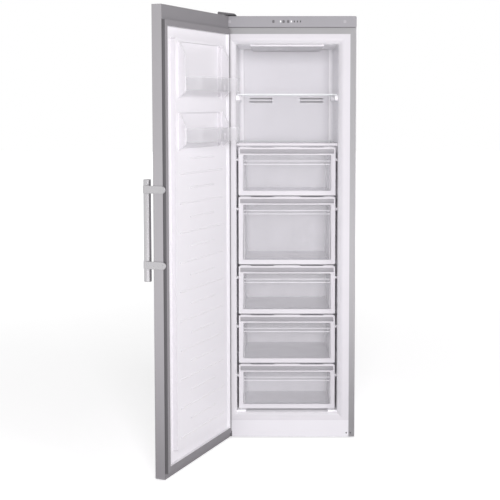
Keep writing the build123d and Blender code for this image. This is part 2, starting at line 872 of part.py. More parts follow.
# ---------------------------------------------------------------- refrigeration
def evaporator():
    """Finned block with the return bends of its tube at both ends."""
    y0 = cover_y + evaporator_gap
    y1 = y0 + evaporator_depth
    z0 = evaporator_floor
    z1 = z0 + evaporator_height
    pack = block(-evaporator_half, evaporator_half, y0, y1, z0, z1)
    gaps = int(2 * evaporator_half / fin_pitch)
    for i in range(gaps):
        x = (i - (gaps - 1) / 2) * fin_pitch
        w = (fin_pitch - fin_thickness) / 2
        pack -= block(x - w, x + w, y0 - past, y0 + fin_cut_depth, z0 - past, z1 + past)
    section = Pos(return_bend_r, 0, 0) * Rectangle(2 * evaporator_tube_r, 2 * evaporator_tube_r)
    bend = revolve(section, Axis.Y, 180)
    spacing = evaporator_height / return_bends
    for i in range(return_bends):
        z = z0 + (i + 0.5) * spacing
        for side in (-1, 1):
            place = Pos(side * (evaporator_half - weld), y1 - 2 * evaporator_tube_r, z)
            pack += place * Rot(0, side * 90, 0) * bend
    return pack + block(-evaporator_half, evaporator_half, y1 - past, recess_back, z1 - fin_pitch, z1)


def fan_blade():
    """Axial fan: hub and pitched blades on the motor's shaft."""
    y0 = cover_y + fan_front_gap
    y1 = y0 + fan_depth
    fan = rod_y(0, y0, y1, fan_z, fan_hub_r)
    blade = Box(fan_r - fan_hub_r + 2 * past, fan_blade_thickness, fan_blade_chord)
    blade = Pos((fan_r + fan_hub_r) / 2, 0, 0) * Rot(fan_blade_pitch, 0, 0) * blade
    for i in range(fan_blades):
        fan += Pos(0, (y0 + y1) / 2, fan_z) * Rot(0, i * 360 / fan_blades, 0) * blade
    fan &= rod_y(0, y0, y1, fan_z, fan_r)
    return fan - rod_y(0, y0 + fan_depth / 3, y1 + past, fan_z, fan_shaft_r + bearing_gap)


def fan_motor():
    """Motor on the pocket's back wall, with its shaft and three arms."""
    y0 = cover_y + fan_front_gap + fan_depth + fan_motor_gap
    body = rod_y(0, y0, y0 + fan_motor_length, fan_z, fan_motor_r)
    body += rod_y(0, y0 - fan_motor_gap - fan_depth / 2, y0 + past, fan_z, fan_shaft_r)
    depth = recess_back - y0 - fan_arm_lift
    w = fan_arm_width / 2
    for angle in (90, 210, 330):
        arm = block(0, fan_arm_reach, 0, depth, -w, w)
        arm -= block(
            fan_motor_r + fan_arm_heel, fan_arm_reach + past, -past, depth - fan_arm_thickness, -2 * w, 2 * w
        )
        body += Pos(0, y0 + fan_arm_lift, fan_z) * Rot(0, angle, 0) * arm
    return body


def defrost_heater():
    """Rod heater under the evaporator, with its two risers."""
    y = cover_y + evaporator_gap + evaporator_depth / 2
    z = evaporator_floor - heater_rise
    heater = rod_x(-heater_half, heater_half, y, z, heater_r)
    for x in (-heater_half + heater_r, heater_half - heater_r):
        heater += post(x, y, z, evaporator_floor, heater_r)
    return heater


def drain_pipe():
    """Pipe from the evaporator pocket's floor to the drip tray."""
    z0 = machine_height - drain_end_gap
    y = cover_y + recess_depth / 2
    z1 = recess_floor - liner_wall
    return post(drain_x, y, z0, z1, drain_r) - post(drain_x, y, z0 - past, z1 + past, drain_bore_r)


def compressor():
    """Hermetic compressor: drawn pot, domed lid, seam, base plate and terminal box."""
    z0 = compressor_floor
    z1 = z0 + compressor_foot
    seam_z = z1 + compressor_height * compressor_seam_share
    dome = [
        (
            compressor_r - compressor_dome_r * (1 - cos(radians(angle))),
            compressor_top - compressor_dome_r * (1 - sin(radians(angle))),
        )
        for angle in (0, 30, 60, 90)
    ]
    outline = [
        (0, z1), (compressor_r, z1), (compressor_r, seam_z), (compressor_seam_r, seam_z),
        (compressor_seam_r, seam_z + compressor_seam_height), (compressor_r, seam_z + compressor_seam_height),
        *dome, (0, compressor_top),
    ]
    face = make_face(Polyline(*[(x, 0, z) for x, z in outline], close=True))
    pot = Pos(compressor_x, compressor_y, 0) * revolve(face, Axis.Z, 360)
    base = Pos(compressor_x, compressor_y, z0) * extrude(
        RectangleRounded(2 * compressor_foot_half_x, 2 * compressor_foot_half_y, mount_r), compressor_foot
    )
    box_z = z1 + compressor_height * terminal_box_share
    x0 = compressor_x + compressor_r
    w = terminal_box_size / 2
    box = block(
        x0 - terminal_box_root, x0 + terminal_box_reach, compressor_y - w, compressor_y + w,
        box_z, box_z + terminal_box_size,
    )
    box = chamfer(box.edges().group_by(Axis.X)[-1], terminal_box_edge)
    return pot + base + box


def compressor_mounts():
    """Four rubber feet between the tray and the compressor's base plate."""
    reach_x = compressor_foot_half_x - mount_r
    reach_y = compressor_foot_half_y - mount_r
    xs = (compressor_x - reach_x, compressor_x + reach_x)
    ys = (compressor_y - reach_y, compressor_y + reach_y)
    return Compound(children=[post(x, y, tray_top, compressor_floor, mount_r) for x in xs for y in ys])


def drip_tray():
    """Evaporation pan on the compressor's lid."""

    def pan(inset, lift):
        """Rounded block, drawn in by a wall."""
        outline = RectangleRounded(
            2 * (drip_tray_half_x - inset), 2 * (drip_tray_half_y - inset), drip_tray_corner_r - inset
        )
        return Pos(compressor_x, compressor_y, compressor_top + lift) * extrude(outline, drip_tray_height)

    return pan(0, 0) - pan(drip_tray_wall, drip_tray_wall)


def tube(points, radius, bend):
    """Round pipe along straight runs with bends."""
    path = FilletPolyline(*points, radius=bend)
    return sweep(Plane(path @ 0, z_dir=path % 0) * Circle(radius), path=path)


def refrigerant_pipes():
    """Suction pipe, discharge pipe and the filter drier that hangs between them."""
    reach = pipe_offset - pipe_r
    left = compressor_x - (compressor_r**2 - reach**2) ** 0.5
    z = compressor_floor + compressor_height * pipe_share
    runs = [(compressor_y - pipe_offset, z, suction_reach), (compressor_y + pipe_offset, z, discharge_reach)]
    pipes = [
        tube(
            [(left, y, height), (left - out, y, height), (left - out, y, machine_height)],
            pipe_r, pipe_bend_r,
        )
        for y, height, out in runs
    ]
    outline = [
        (0, 0), (pipe_r, 0), (drier_r, drier_neck), (drier_r, drier_neck + drier_length),
        (pipe_r, 2 * drier_neck + drier_length), (0, 2 * drier_neck + drier_length),
    ]
    face = make_face(Polyline(*[(x, 0, q) for x, q in outline], close=True))
    drier_z = machine_height - 2 * drier_neck - drier_length
    drier = Pos(left - drier_reach, compressor_y - pipe_offset, drier_z) * revolve(face, Axis.Z, 360)
    return Compound(children=pipes + [drier])


def compressor_tray():
    """Galvanised tray across the back: upstands, roller cheeks and the riveted axles."""
    y0 = machine_front - bottom_slope
    y1 = y_back - back_panel_inset
    tray = block(-inner_half, inner_half, y0, y1, tray_z, tray_top)
    tray += block(-inner_half, inner_half, y0, y0 + tray_sheet, tray_z, bottom_panel_z)
    tray += block(-inner_half, inner_half, y1 - tray_sheet, y1, tray_z, tray_top + tray_upstand)
    for side in (-1, 1):
        x = side * roller_x
        room = roller_width / 2 + roller_side_gap
        reach = roller_r + roller_room
        tray -= block(x - room, x + room, roller_y - reach, roller_y + reach, tray_z - past, tray_top + past)
        for inner in (x - room - cheek, x + room):
            foot = roller_r - axle_r - cheek_drop
            plate = block(inner, inner + cheek, roller_y - cheek_half, roller_y + cheek_half, foot, tray_top)
            tray += fillet(plate.edges().filter_by(Axis.X).group_by(Axis.Z)[0], axle_r)
        tray += rod_x(x - room - cheek - past, x + room + cheek + past, roller_y, roller_r, axle_r)
    return tray


def roller(x):
    """Rear roller with a hub and a rounded tread."""
    wheel = rod_x(x - roller_width / 2, x + roller_width / 2, roller_y, roller_r, roller_r)
    wheel = chamfer(wheel.edges().filter_by(GeomType.CIRCLE), roller_edge)
    return wheel - rod_x(x - roller_width, x + roller_width, roller_y, roller_r, axle_r + bearing_gap)


def levelling_foot(x):
    """Foot pad, hexagon and stem."""
    pad = post(x, foot_y, 0, foot_height, foot_r)
    pad = chamfer(pad.edges().group_by(Axis.Z)[-1], foot_edge)
    hexagon = Pos(x, foot_y, foot_height) * extrude(RegularPolygon(foot_hex / 2, 6), foot_hex_height)
    return pad + hexagon + post(x, foot_y, foot_height, foot_stem_top, foot_stem_r)


def mains_inlet():
    """Terminal box on the tray, with the gland for the mains lead."""
    x0 = inlet_x - inlet_width / 2
    y1 = y_back - back_panel_inset - tray_sheet - gland_length
    box = block(x0, x0 + inlet_width, y1 - inlet_depth, y1, tray_top, tray_top + inlet_height)
    box = fillet(box.edges().filter_by(Axis.Z), inlet_corner_r)
    z = tray_top + inlet_height * gland_share
    y2 = y1 + gland_length
    box += rod_y(inlet_x, y1 - past, y2, z, gland_r)
    box += rod_y(inlet_x, y1, y1 + gland_ring, z, gland_r + gland_ring)
    return box - rod_y(inlet_x, y1 - inlet_depth * bore_share, y2 + past, z, gland_bore_r)


# ---------------------------------------------------------------- hinges
def upper_hinge():
    """Plate on the cabinet's top, with the pin that the door hangs on."""
    z0 = cabinet_top
    z1 = z0 + hinge_plate
    x0 = hinge_x - hinge_nose_r
    x1 = x0 + 2 * upper_plate_half_x
    plate = block(x0, x1, hinge_y, y_front + upper_plate_back, z0, z1)
    plate -= block(hinge_x + hinge_nose_r, x1 + past, hinge_y - past, y_front, z0 - past, z1 + past)
    nose = post(hinge_x, hinge_y, z0, z1, hinge_nose_r)
    pin = post(hinge_x, hinge_y, door_top - hinge_bore_depth + pin_end_gap, z1, hinge_pin_r)
    return plate + nose + pin


def hinge_cover():
    """Wedge-shaped dark cover over the upper hinge."""
    x0 = -half + past
    x1 = x0 + cover_length_x
    z0 = cabinet_top

    def wedge(inset):
        """Cover outline, drawn in by a wall."""
        left = z0 + cover_left_height - inset
        right = z0 + cover_right_height - inset
        outline = [
            (x0 + inset, z0 - inset), (x0 + inset, left - cover_heel), (x0 + inset + cover_heel, left),
            (x1 - cover_toe, right),
            (x1 - inset, z0 + (cover_right_height - inset) / 4),
            (x1 - inset, z0 - inset),
        ]
        return prism_y(outline, y_front - cover_front + inset, y_front + cover_back - inset)

    plate_room = block(
        x0 + cover_wall, x1 - cover_wall, hinge_y - hinge_nose_r - past, y_front + upper_plate_back + past,
        z0 - past, z0 + hinge_plate,
    )
    return wedge(0) - wedge(cover_wall) - plate_room


def lower_hinge():
    """Angle bracket at the foot of the cabinet, with the lower pin and its washer."""
    x0 = hinge_x - hinge_nose_r
    z0 = lower_tongue_z
    z1 = z0 + hinge_plate
    upright = block(x0, x0 + lower_plate_width, y_front - hinge_plate, y_front, z0, lower_plate_top)
    tongue = block(x0, x0 + 2 * hinge_nose_r, hinge_y, y_front, z0, z1)
    nose = post(hinge_x, hinge_y, z0, z1, hinge_nose_r)
    washer = post(hinge_x, hinge_y, z1, door_bottom - seat_gap, washer_r)
    pin = post(hinge_x, hinge_y, z0, door_bottom + hinge_bore_depth - pin_end_gap, hinge_pin_r)
    return upright + tongue + nose + washer + pin


# ---------------------------------------------------------------- door, drawn closed
def door_outline(z0, z1, inset=0.0):
    """Door's full section between two heights, with its rounded outer corners."""
    body = block(-half + inset, half - inset, door_outer_y + inset, door_inner_y - inset, z0, z1)
    corners = edges_at(body, Axis.Z, Y=door_outer_y + inset)
    return fillet(corners, door_corner_r - inset)


def door_skin():
    """Outer sheet: front, two edges and the inner lips."""
    lip_y = door_inner_y - liner_wall
    outer = door_outline(skin_bottom, skin_top) - block(-half, half, lip_y, y_front, 0, door_top)
    inside = door_outline(skin_bottom - past, skin_top + past, steel)
    core = block(
        -half + steel, half - steel, door_outer_y + steel, lip_y - steel, skin_bottom - past, skin_top + past
    )
    skin = outer - (inside & core)
    skin -= block(-half + skin_lip, half - skin_lip, lip_y - 2 * steel, y_front, 0, door_top)
    for x in (-half, half - steel):
        skin += block(x, x + steel, lip_y - past, door_inner_y, skin_bottom, skin_top)
    return skin


def hinge_bore(z0, z1):
    """Room for a hinge pin."""
    return post(hinge_x, hinge_y, z0, z1, hinge_pin_r + bearing_gap)


def door_end(z_plate, z_skin, z_apron, z_boss):
    """Moulded end of the door: plate over the sheet's end, inner apron and hinge boss."""
    plate = door_outline(min(z_plate, z_skin), max(z_plate, z_skin))
    apron = block(
        -half + steel, half - steel, door_inner_y - apron_wall, door_inner_y,
        min(z_skin, z_apron), max(z_skin, z_apron),
    )
    boss = post(hinge_x, hinge_y, min(z_skin, z_boss), max(z_skin, z_boss), hinge_boss_r)
    boss &= block(-half + steel, half, door_outer_y + steel, door_inner_y, 0, cabinet_top)
    return plate + apron + boss


def door_top_cap():
    """Upper moulding with its hinge bore."""
    boss_z = door_top - hinge_bore_depth - cap_plate
    cap = door_end(door_top, skin_top, door_top - top_apron, boss_z)
    cap = chamfer([e for e in cap.edges().group_by(Axis.Z)[-1] if e.length > door_thickness / 2], cap_edge)
    return cap - hinge_bore(door_top - hinge_bore_depth, door_top + past)


def door_bottom_cap():
    """Lower moulding with its hinge bore."""
    boss_z = door_bottom + hinge_bore_depth + cap_plate
    cap = door_end(door_bottom, skin_bottom, door_bottom + bottom_apron, boss_z)
    cap = chamfer([e for e in cap.edges().group_by(Axis.Z)[0] if e.length > door_thickness / 2], cap_edge)
    return cap - hinge_bore(door_bottom - past, door_bottom + hinge_bore_depth)


def pedestal(inset, y0):
    """Raised inner field of the door liner, drawn in by a wall."""
    top_y = door_inner_y + pedestal_height - inset
    base = Plane((0, y0, 0), x_dir=(1, 0, 0), z_dir=(0, 1, 0))
    top = Plane((0, top_y, 0), x_dir=(1, 0, 0), z_dir=(0, 1, 0))
    middle = (pedestal_bottom + pedestal_top) / 2
    height = pedestal_top - pedestal_bottom

    def outline(draft):
        """Rounded rectangle of the field."""
        return Pos(0, -middle) * RectangleRounded(
            2 * (pedestal_half - inset - draft), height - 2 * (inset + draft), pocket_r - draft
        )

    return loft([base * outline(0), top * outline(pedestal_draft)])


def dyke(rack_bottom, top):
    """Raised holder beside a rack, as (y, z) points."""
    y0 = door_inner_y + pedestal_height - liner_wall
    y1 = door_inner_y + pedestal_height + dyke_height
    foot = rack_bottom - dyke_below_rack
    return [(y0, foot), (y1, foot + dyke_foot_slope), (y1, top - dyke_top_slope), (y0, top)]


def rack_pocket(rack_bottom, top, grow):
    """Shallow pocket behind a rack."""
    y1 = door_inner_y + pedestal_height
    pocket = block(
        -rack_half + pocket_r - grow, rack_half - pocket_r + grow, y1 - pocket_depth - grow, y1 + past,
        rack_bottom - dyke_below_rack + pocket_r - grow, top - pocket_r + grow,
    )
    return fillet(pocket.edges().filter_by(Axis.Y), pocket_r + grow)


def door_liner():
    """White moulded inner door: flat rim, raised field with ribs, pockets and the racks' dykes."""
    z0 = door_bottom + bottom_apron
    z1 = door_top - top_apron
    liner = block(-liner_edge, liner_edge, door_inner_y - liner_wall, door_inner_y, z0, z1)
    liner += pedestal(0, door_inner_y - liner_wall)
    for bottom, top in zip(rack_bottoms, dyke_tops):
        liner -= rack_pocket(bottom, top, 0)
    core = pedestal(liner_wall, door_inner_y - 2 * liner_wall)
    for bottom, top in zip(rack_bottoms, dyke_tops):
        core -= rack_pocket(bottom, top, liner_wall)
    liner -= core
    y1 = door_inner_y + pedestal_height
    for i in range(rib_count):
        w = rib_short_half if i % 2 else rib_long_half
        z = rib_first_z + i * rib_pitch
        section = [
            (y1 - liner_wall / 2, z - rib_height / 2), (y1, z - rib_height / 2),
            (y1 + rib_proud, z - rib_height / 5), (y1 + rib_proud, z + rib_height / 5),
            (y1, z + rib_height / 2), (y1 - liner_wall / 2, z + rib_height / 2),
        ]
        liner += prism_x(section, -w, w)
    for bottom, top in zip(rack_bottoms, dyke_tops):
        z = bottom + rack_stud_height
        y = y1 + dyke_height / 2
        for side in (-1, 1):
            inner = side * (rack_half + 2 * seat_gap)
            xs = sorted((inner, inner + side * dyke_wall))
            liner += prism_x(dyke(bottom, top), xs[0], xs[1])
            liner += rod_x(inner + side * past, inner - side * stud_length, y, z, stud_r)
    return liner


def door_foam():
    """Insulation inside the door."""
    y1 = door_inner_y - liner_wall
    low = door_bottom + bottom_apron
    high = door_top - top_apron
    foam = door_outline(skin_bottom, skin_top, steel) - block(-half, half, y1 - steel, y_front, 0, door_top)
    foam += block(-half + skin_lip, half - skin_lip, y1 - 2 * steel, y1, low, high)
    core = pedestal(liner_wall, door_inner_y - 2 * liner_wall)
    for bottom, top in zip(rack_bottoms, dyke_tops):
        core -= rack_pocket(bottom, top, liner_wall)
    foam += core
    foam -= block(-half, half, door_inner_y - apron_wall, y_front, high, door_top)
    foam -= block(-half, half, door_inner_y - apron_wall, y_front, 0, low)
    boss = hinge_bore_depth + cap_plate + seat_gap
    foam -= post(hinge_x, hinge_y, 0, door_bottom + boss, hinge_boss_r + seat_gap)
    return foam - post(hinge_x, hinge_y, door_top - boss, cabinet_top, hinge_boss_r + seat_gap)


def door_gasket():
    """Magnetic seal: a ring with a head that slopes down to its outer edge."""
    x0 = half - gasket_inset
    z0 = door_bottom + bottom_apron
    z1 = door_top - top_apron
    x1 = x0 - gasket_side
    y0 = door_inner_y
    outer_y = y0 + gasket_outer_proud
    inner_y = y0 + gasket_proud
    z_in0 = z0 + gasket_bottom
    z_in1 = z1 - gasket_top

    def outline(x, low, high):
        """Rectangle in the plane of the door."""
        return Pos(0, -(low + high) / 2) * Rectangle(2 * x, high - low)

    def plane(y):
        """Plane parallel to the door."""
        return Plane((0, y, 0), x_dir=(1, 0, 0), z_dir=(0, 1, 0))

    base = extrude(plane(y0) * outline(x0, z0, z1), outer_y - y0)
    crest = outline(x1 + past, z_in0 - past, z_in1 + past)
    head = loft([plane(outer_y) * outline(x0, z0, z1), plane(inner_y) * crest])
    return base + head - block(-x1, x1, y0 - past, inner_y + past, z_in0, z_in1)


def rack(bottom):
    """Open-topped clear rack with a leaning front, rounded front corners and a notch over each stud."""
    y0 = door_inner_y + pedestal_height + rack_back_gap
    y1 = door_inner_y + rack_front

    def body(inset, low, high):
        """Block with a leaning front and its rounded corners."""
        x = rack_half - inset
        front = y1 - inset
        side = [(y0 + inset, low), (front - rack_draft, low), (front, high), (y0 + inset, high)]
        shape = prism_x(side, -x, x)
        outer_edges = [e for e in shape.edges() if e.center().Y > front - rack_draft]
        corners = [e for e in outer_edges if abs(e.center().X) > x / 2]
        return fillet(ShapeList(corners), rack_corner_r - inset)

    z1 = bottom + rack_height
    shape = body(0, bottom, z1) - body(rack_wall, bottom + rack_wall, z1 + past)
    stud_y = door_inner_y + pedestal_height + dyke_height / 2
    stud_z = bottom + rack_stud_height
    r = stud_r + seat_gap
    x = rack_half + past
    notch = block(-x, x, stud_y - r, stud_y + r, bottom - past, stud_z) + rod_x(-x, x, stud_y, stud_z, r)
    inner = rack_half - rack_wall - stud_length - seat_gap
    return shape - (notch - block(-inner, inner, y0, y1, bottom - 2 * past, z1))


# ---------------------------------------------------------------- handle
def bar_centre():
    """Handle bar's axis on the closed door."""
    return half - handle_bar_r, door_outer_y - handle_standoff


def handle_bar():
    """Round bar, bored for the pins of its two arms and flattened behind them."""
    x, y = bar_centre()
    bar = post(x, y, handle_bar_bottom, handle_bar_bottom + handle_bar_length, handle_bar_r)
    bar = chamfer(bar.edges().filter_by(GeomType.CIRCLE), bar_edge)
    w = arm_width / 2
    for z in arm_heights:
        bar -= rod_x(half - arm_boss, half + past, y, z, arm_pin_r)
        bar -= block(half - arm_flat, half + past, y - handle_bar_r, y + handle_bar_r, z - w, z + w)
    return bar


def handle_arm(z):
    """Flat arm on the door's free edge: round end past the inner plane, pin into the bar."""
    x, y = bar_centre()
    w = arm_width / 2
    y1 = door_inner_y + arm_overhang - w
    outer_x = half + arm_thickness
    plate = block(half, outer_x, y, y1, z - w, z + w) + rod_x(half, outer_x, y1, z, w)
    plate = fillet(edges_at(plate, Axis.Y, X=outer_x), arm_edge)
    flat = handle_bar_r * arm_flat_share
    plate += block(half - arm_flat, half + weld, y - flat, y + flat, z - w, z + w)
    plate += rod_x(half - arm_boss, half + weld, y, z, arm_pin_r)
    return plate + rod_x(half, outer_x + arm_cap_proud, y1, z, arm_cap_r)


# ---------------------------------------------------------------- write the parts
def build():
    """Builds and writes every sub-part."""
    os.makedirs("parts", exist_ok=True)
    save("cabinet_shell", cabinet_shell())
    save("back_panel", back_panel())
    save("bottom_panel", bottom_panel())
    save("cabinet_foam", cabinet_foam())
    save("inner_liner", inner_liner())
    save("air_cover", air_cover())
    save("ceiling_duct", ceiling_duct())
    save("control_fascia", control_fascia())
    save("control_board", control_board())
    save("indicator_lights", indicator_lights())
    for name, x in zip(button_names, button_x):
        save(name, push_button(x))
    save("plinth", plinth())

    deep_rear = cover_y - drawer_rear_gap
    low_rear = low_cavity_back - drawer_rear_gap
    for i, (top, bottom) in enumerate(zip(drawer_tops, drawer_bottoms), start=1):
        save(f"drawer_{i}_front", drawer_front(top, bottom))
        save(f"drawer_{i}_window", drawer_window(top, bottom))
        save(f"drawer_{i}_tub", drawer_tub(top, bottom, low_rear if i == len(drawer_tops) else deep_rear))
    save("shelf_upper", glass_shelf(upper_shelf_z, upper_shelf_start))
    save("shelf_lower", glass_shelf(lower_shelf_z, lower_shelf_start))
    save("shelf_lower_trim", lower_shelf_trim())

    save("evaporator", evaporator())
    save("fan_motor", fan_motor())
    save("fan_blade", fan_blade())
    save("defrost_heater", defrost_heater())
    save("drain_pipe", drain_pipe())
    save("compressor", compressor())
    save("compressor_mounts", compressor_mounts())
    save("drip_tray", drip_tray())
    save("refrigerant_pipes", refrigerant_pipes())
    save("compressor_tray", compressor_tray())
    save("mains_inlet", mains_inlet())
    for side, x in (("left", -1), ("right", 1)):
        save(f"roller_{side}", roller(x * roller_x))
        save(f"foot_{side}", levelling_foot(x * foot_x))

    save("upper_hinge", upper_hinge())
    save("hinge_cover", hinge_cover())
    save("lower_hinge", lower_hinge())

    save("door_skin", opened(door_skin()))
    save("door_top_cap", opened(door_top_cap()))
    save("door_bottom_cap", opened(door_bottom_cap()))
    save("door_foam", opened(door_foam()))
    save("door_liner", opened(door_liner()))
    save("door_gasket", opened(door_gasket()))
    for name, bottom in zip(rack_names, rack_bottoms):
        save(name, opened(rack(bottom)))
    save("handle_bar", opened(handle_bar()))
    save("handle_arms", opened(Compound(children=[handle_arm(z) for z in arm_heights])))


build()
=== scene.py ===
import json
from math import radians

import bmesh
import bpy
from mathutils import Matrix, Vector


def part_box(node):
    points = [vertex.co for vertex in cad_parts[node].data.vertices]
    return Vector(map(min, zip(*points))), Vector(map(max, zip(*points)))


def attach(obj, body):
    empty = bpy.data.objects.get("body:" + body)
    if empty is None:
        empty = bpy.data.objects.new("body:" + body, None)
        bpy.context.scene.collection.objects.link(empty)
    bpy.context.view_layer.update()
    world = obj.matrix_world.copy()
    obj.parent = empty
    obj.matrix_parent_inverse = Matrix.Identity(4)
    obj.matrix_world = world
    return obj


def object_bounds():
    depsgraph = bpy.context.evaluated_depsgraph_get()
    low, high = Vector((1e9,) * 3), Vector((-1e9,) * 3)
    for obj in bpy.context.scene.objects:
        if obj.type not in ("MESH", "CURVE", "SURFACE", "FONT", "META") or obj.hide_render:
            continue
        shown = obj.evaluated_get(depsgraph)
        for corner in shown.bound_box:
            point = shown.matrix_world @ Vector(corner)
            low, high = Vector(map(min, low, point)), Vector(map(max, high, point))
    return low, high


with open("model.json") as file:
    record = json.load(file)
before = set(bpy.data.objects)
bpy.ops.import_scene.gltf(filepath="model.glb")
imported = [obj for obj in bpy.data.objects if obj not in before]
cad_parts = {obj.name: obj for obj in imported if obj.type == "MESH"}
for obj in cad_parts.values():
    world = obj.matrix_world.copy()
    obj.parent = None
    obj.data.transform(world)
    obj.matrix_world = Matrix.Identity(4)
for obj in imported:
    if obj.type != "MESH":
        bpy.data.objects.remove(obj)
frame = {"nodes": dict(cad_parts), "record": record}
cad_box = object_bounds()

# Looks for the upright freezer. Metres, in the frame of the CAD parts.

# ---------------------------------------------------------------- camera and studio
CAMERA_AT = (-0.0494, -4.968, 1.4629)
CAMERA_TILT = 4.411         # degrees below the horizon
CAMERA_LENS = 77.748        # mm, on a sensor of this width
SENSOR_WIDTH = 36.0
CAMERA_SHIFT = (-0.0515, -0.12)

LIGHT_COLOUR = (1.0, 0.971, 1.008)
FRONT_AT, FRONT_SIZE, FRONT_WATTS = (0.15, -5.3, 1.75), 1.5, 182
KEY_AT, KEY_SIZE, KEY_WATTS = (3.8, -3.4, 2.3), 2.4, 72

WORLD_LIGHT = 0.20
SKY_SHEEN = 0.82            # of the studio's walls in mirrored light

FLOOR_SIZE = 60
FLOOR_COLOUR = 0.80
FLOOR_CLOUD, FLOOR_SPREAD = 0.8, 0.01
FLOOR_ROUGH, FLOOR_SPECULAR = 0.9, 0.1
NEAR_GLOW = 0.66            # added to the floor for the camera, near the object
FAR_GLOW = 1.0              # and where the lamps no longer reach
GLOW_REACH = (1.0, 7.0)     # from the one to the other
SHEEN = 1.0                 # of the far floor in mirrored light, which starts at nothing near the object
SHEEN_REACH = (1.2, 5.6)    # from where it starts to where it is full

# ---------------------------------------------------------------- surfaces
PLASTIC_IOR, CLEAR_IOR = 1.5, 1.45
NOISE_RANGE = (0.25, 0.75)  # where nearly all values of a noise texture lie
FINE_DETAIL = 2.0
GLOSS_SPREAD = 0.04         # by which an opaque surface's roughness wanders
RELIEF_STRENGTH = 0.6
CLEAR_CLOUD, CLEAR_SPREAD = 14.0, 0.02
CLEAR_GLOSS = (0.8, 1.2)    # shares of a clear surface's roughness
CLEAR_HAZE = (0.94, 1.06)   # shares of its opacity
LYING = (0.4, 0.8)          # how far a face looks up or down, from standing to lying
RIB_HEIGHT, RIB_EDGE = 0.0008, 0.0004

SEAL_ROUGH = 0.6
# the seal's outer flank takes painted shade and its inner fin painted light
SEAL_SHADED_FLANK, SEAL_LIT_FIN = (0.10, 0.14), (-0.10, -0.14)     # how far a face looks away from the seal's middle
# width of the painted shade along the door liner's edges, and the blur of its inner border
LINER_RIM, RIM_EDGE = 0.006, 0.0005
# a pale tone on these lights stands in for their glow: painted light
LIT_SHARE = 0.61            # the first two lights of the row are lit
LIT_BLUR = 0.002
# inside this turn the liner is painted brighter than its flange: painted light, not a colour difference
MOUTH_START, MOUTH_END = 0.004, 0.02    # behind the liner's front face, where its tone turns

# parts of a coordinate or normal, with the two values between which a tone turns
# the drawer fronts' down-facing grip recess takes a darker tone: painted shade
GRIP_SHADE_FACING = ("Z", "Normal", -0.52, -0.42)
# the door's faces that look toward the cabinet take a darker tone: painted shade
SHADED_INWARD = ("X", "Normal", 0.80, 0.88)
# the door liner's faces that look to the front take a darker tone: painted shade
SHADED_FRONTWARD = ("Y", "Normal", -0.75, -0.45)

# ---------------------------------------------------------------- small pieces
BEVEL_STEPS, DISC_STEPS, DISC_TAPER = 4, 24, 0.8
PARALLEL = 0.9              # how nearly an edge runs along Y to be rounded
FACE_PROUD = 0.0004         # how far a seam or a cap stands out
SINK = 0.0003               # how far it reaches into what carries it
SEAM, SEAM_INSET = 0.0024, 0.004
CAP, CAP_INSET, CAP_ROUND = 0.012, 0.0505, 0.003
PLUG_R, PLUG_HEIGHT, PLUG_Z = 0.0035, 0.001, 0.027
PLUG_INSETS = (0.0355, 0.0175)
SCREW_R, SCREW_HEIGHT, SCREW_INSET = 0.0045, 0.0012, 0.012
SCREW_ROWS, SCREW_MARGIN = 5, 0.06

scene = bpy.context.scene
nodes = frame["nodes"]


# ---------------------------------------------------------------- shader helpers
def link(tree, a, b):
    """Joins two sockets."""
    tree.links.new(a, b)


def centre(low, high):
    """Point halfway between two corners."""
    return [(a + b) / 2 for a, b in zip(low, high)]


def coordinate(tree, output):
    """Texture coordinate: Object is a place in metres, and Normal is the way that a face looks."""
    return tree.nodes.new("ShaderNodeTexCoord").outputs[output]


def part_of(tree, vector, letter):
    """One coordinate of a vector."""
    node = tree.nodes.new("ShaderNodeSeparateXYZ")
    link(tree, vector, node.inputs["Vector"])
    return node.outputs[letter]


def arithmetic(tree, operation, a, b=None):
    """Math node on one or two sockets."""
    node = tree.nodes.new("ShaderNodeMath")
    node.operation = operation
    link(tree, a, node.inputs[0])
    if b is not None:
        link(tree, b, node.inputs[1])
    return node.outputs["Value"]


def vector_math(tree, operation, a, b=None):
    """Vector math node on a socket and, where it takes two, another socket or a fixed vector."""
    node = tree.nodes.new("ShaderNodeVectorMath")
    node.operation = operation
    link(tree, a, node.inputs[0])
    if isinstance(b, bpy.types.NodeSocket):
        link(tree, b, node.inputs[1])
    elif b is not None:
        node.inputs[1].default_value = b
    return node


def ramp(tree, value, low, high, start, end):
    """Goes from start to end while the value goes from low to high."""
    node = tree.nodes.new("ShaderNodeMapRange")
    node.inputs["From Min"].default_value = low
    node.inputs["From Max"].default_value = high
    node.inputs["To Min"].default_value = start
    node.inputs["To Max"].default_value = end
    link(tree, value, node.inputs["Value"])
    return node.outputs["Result"]


def between(tree, noise, low, high):
    """Spreads noise over a range."""
    return ramp(tree, noise, *NOISE_RANGE, low, high)


def value_noise(tree, coord, scale, detail=3.0):
    """Noise with its scale in cells per metre."""
    noise = tree.nodes.new("ShaderNodeTexNoise")
    noise.inputs["Scale"].default_value = scale
    noise.inputs["Detail"].default_value = detail
    link(tree, coord, noise.inputs["Vector"])
    return noise.outputs["Fac"]


def tinted(tree, noise, colour, spread):
    """Colour that wanders by a small share around its own value."""
    mix = tree.nodes.new("ShaderNodeMix")
    mix.data_type = "RGBA"
    mix.inputs["A"].default_value = (*[c * (1 - spread) for c in colour], 1)
    mix.inputs["B"].default_value = (*[min(1.0, c * (1 + spread)) for c in colour], 1)
    link(tree, noise, mix.inputs["Factor"])
    return mix.outputs["Result"]


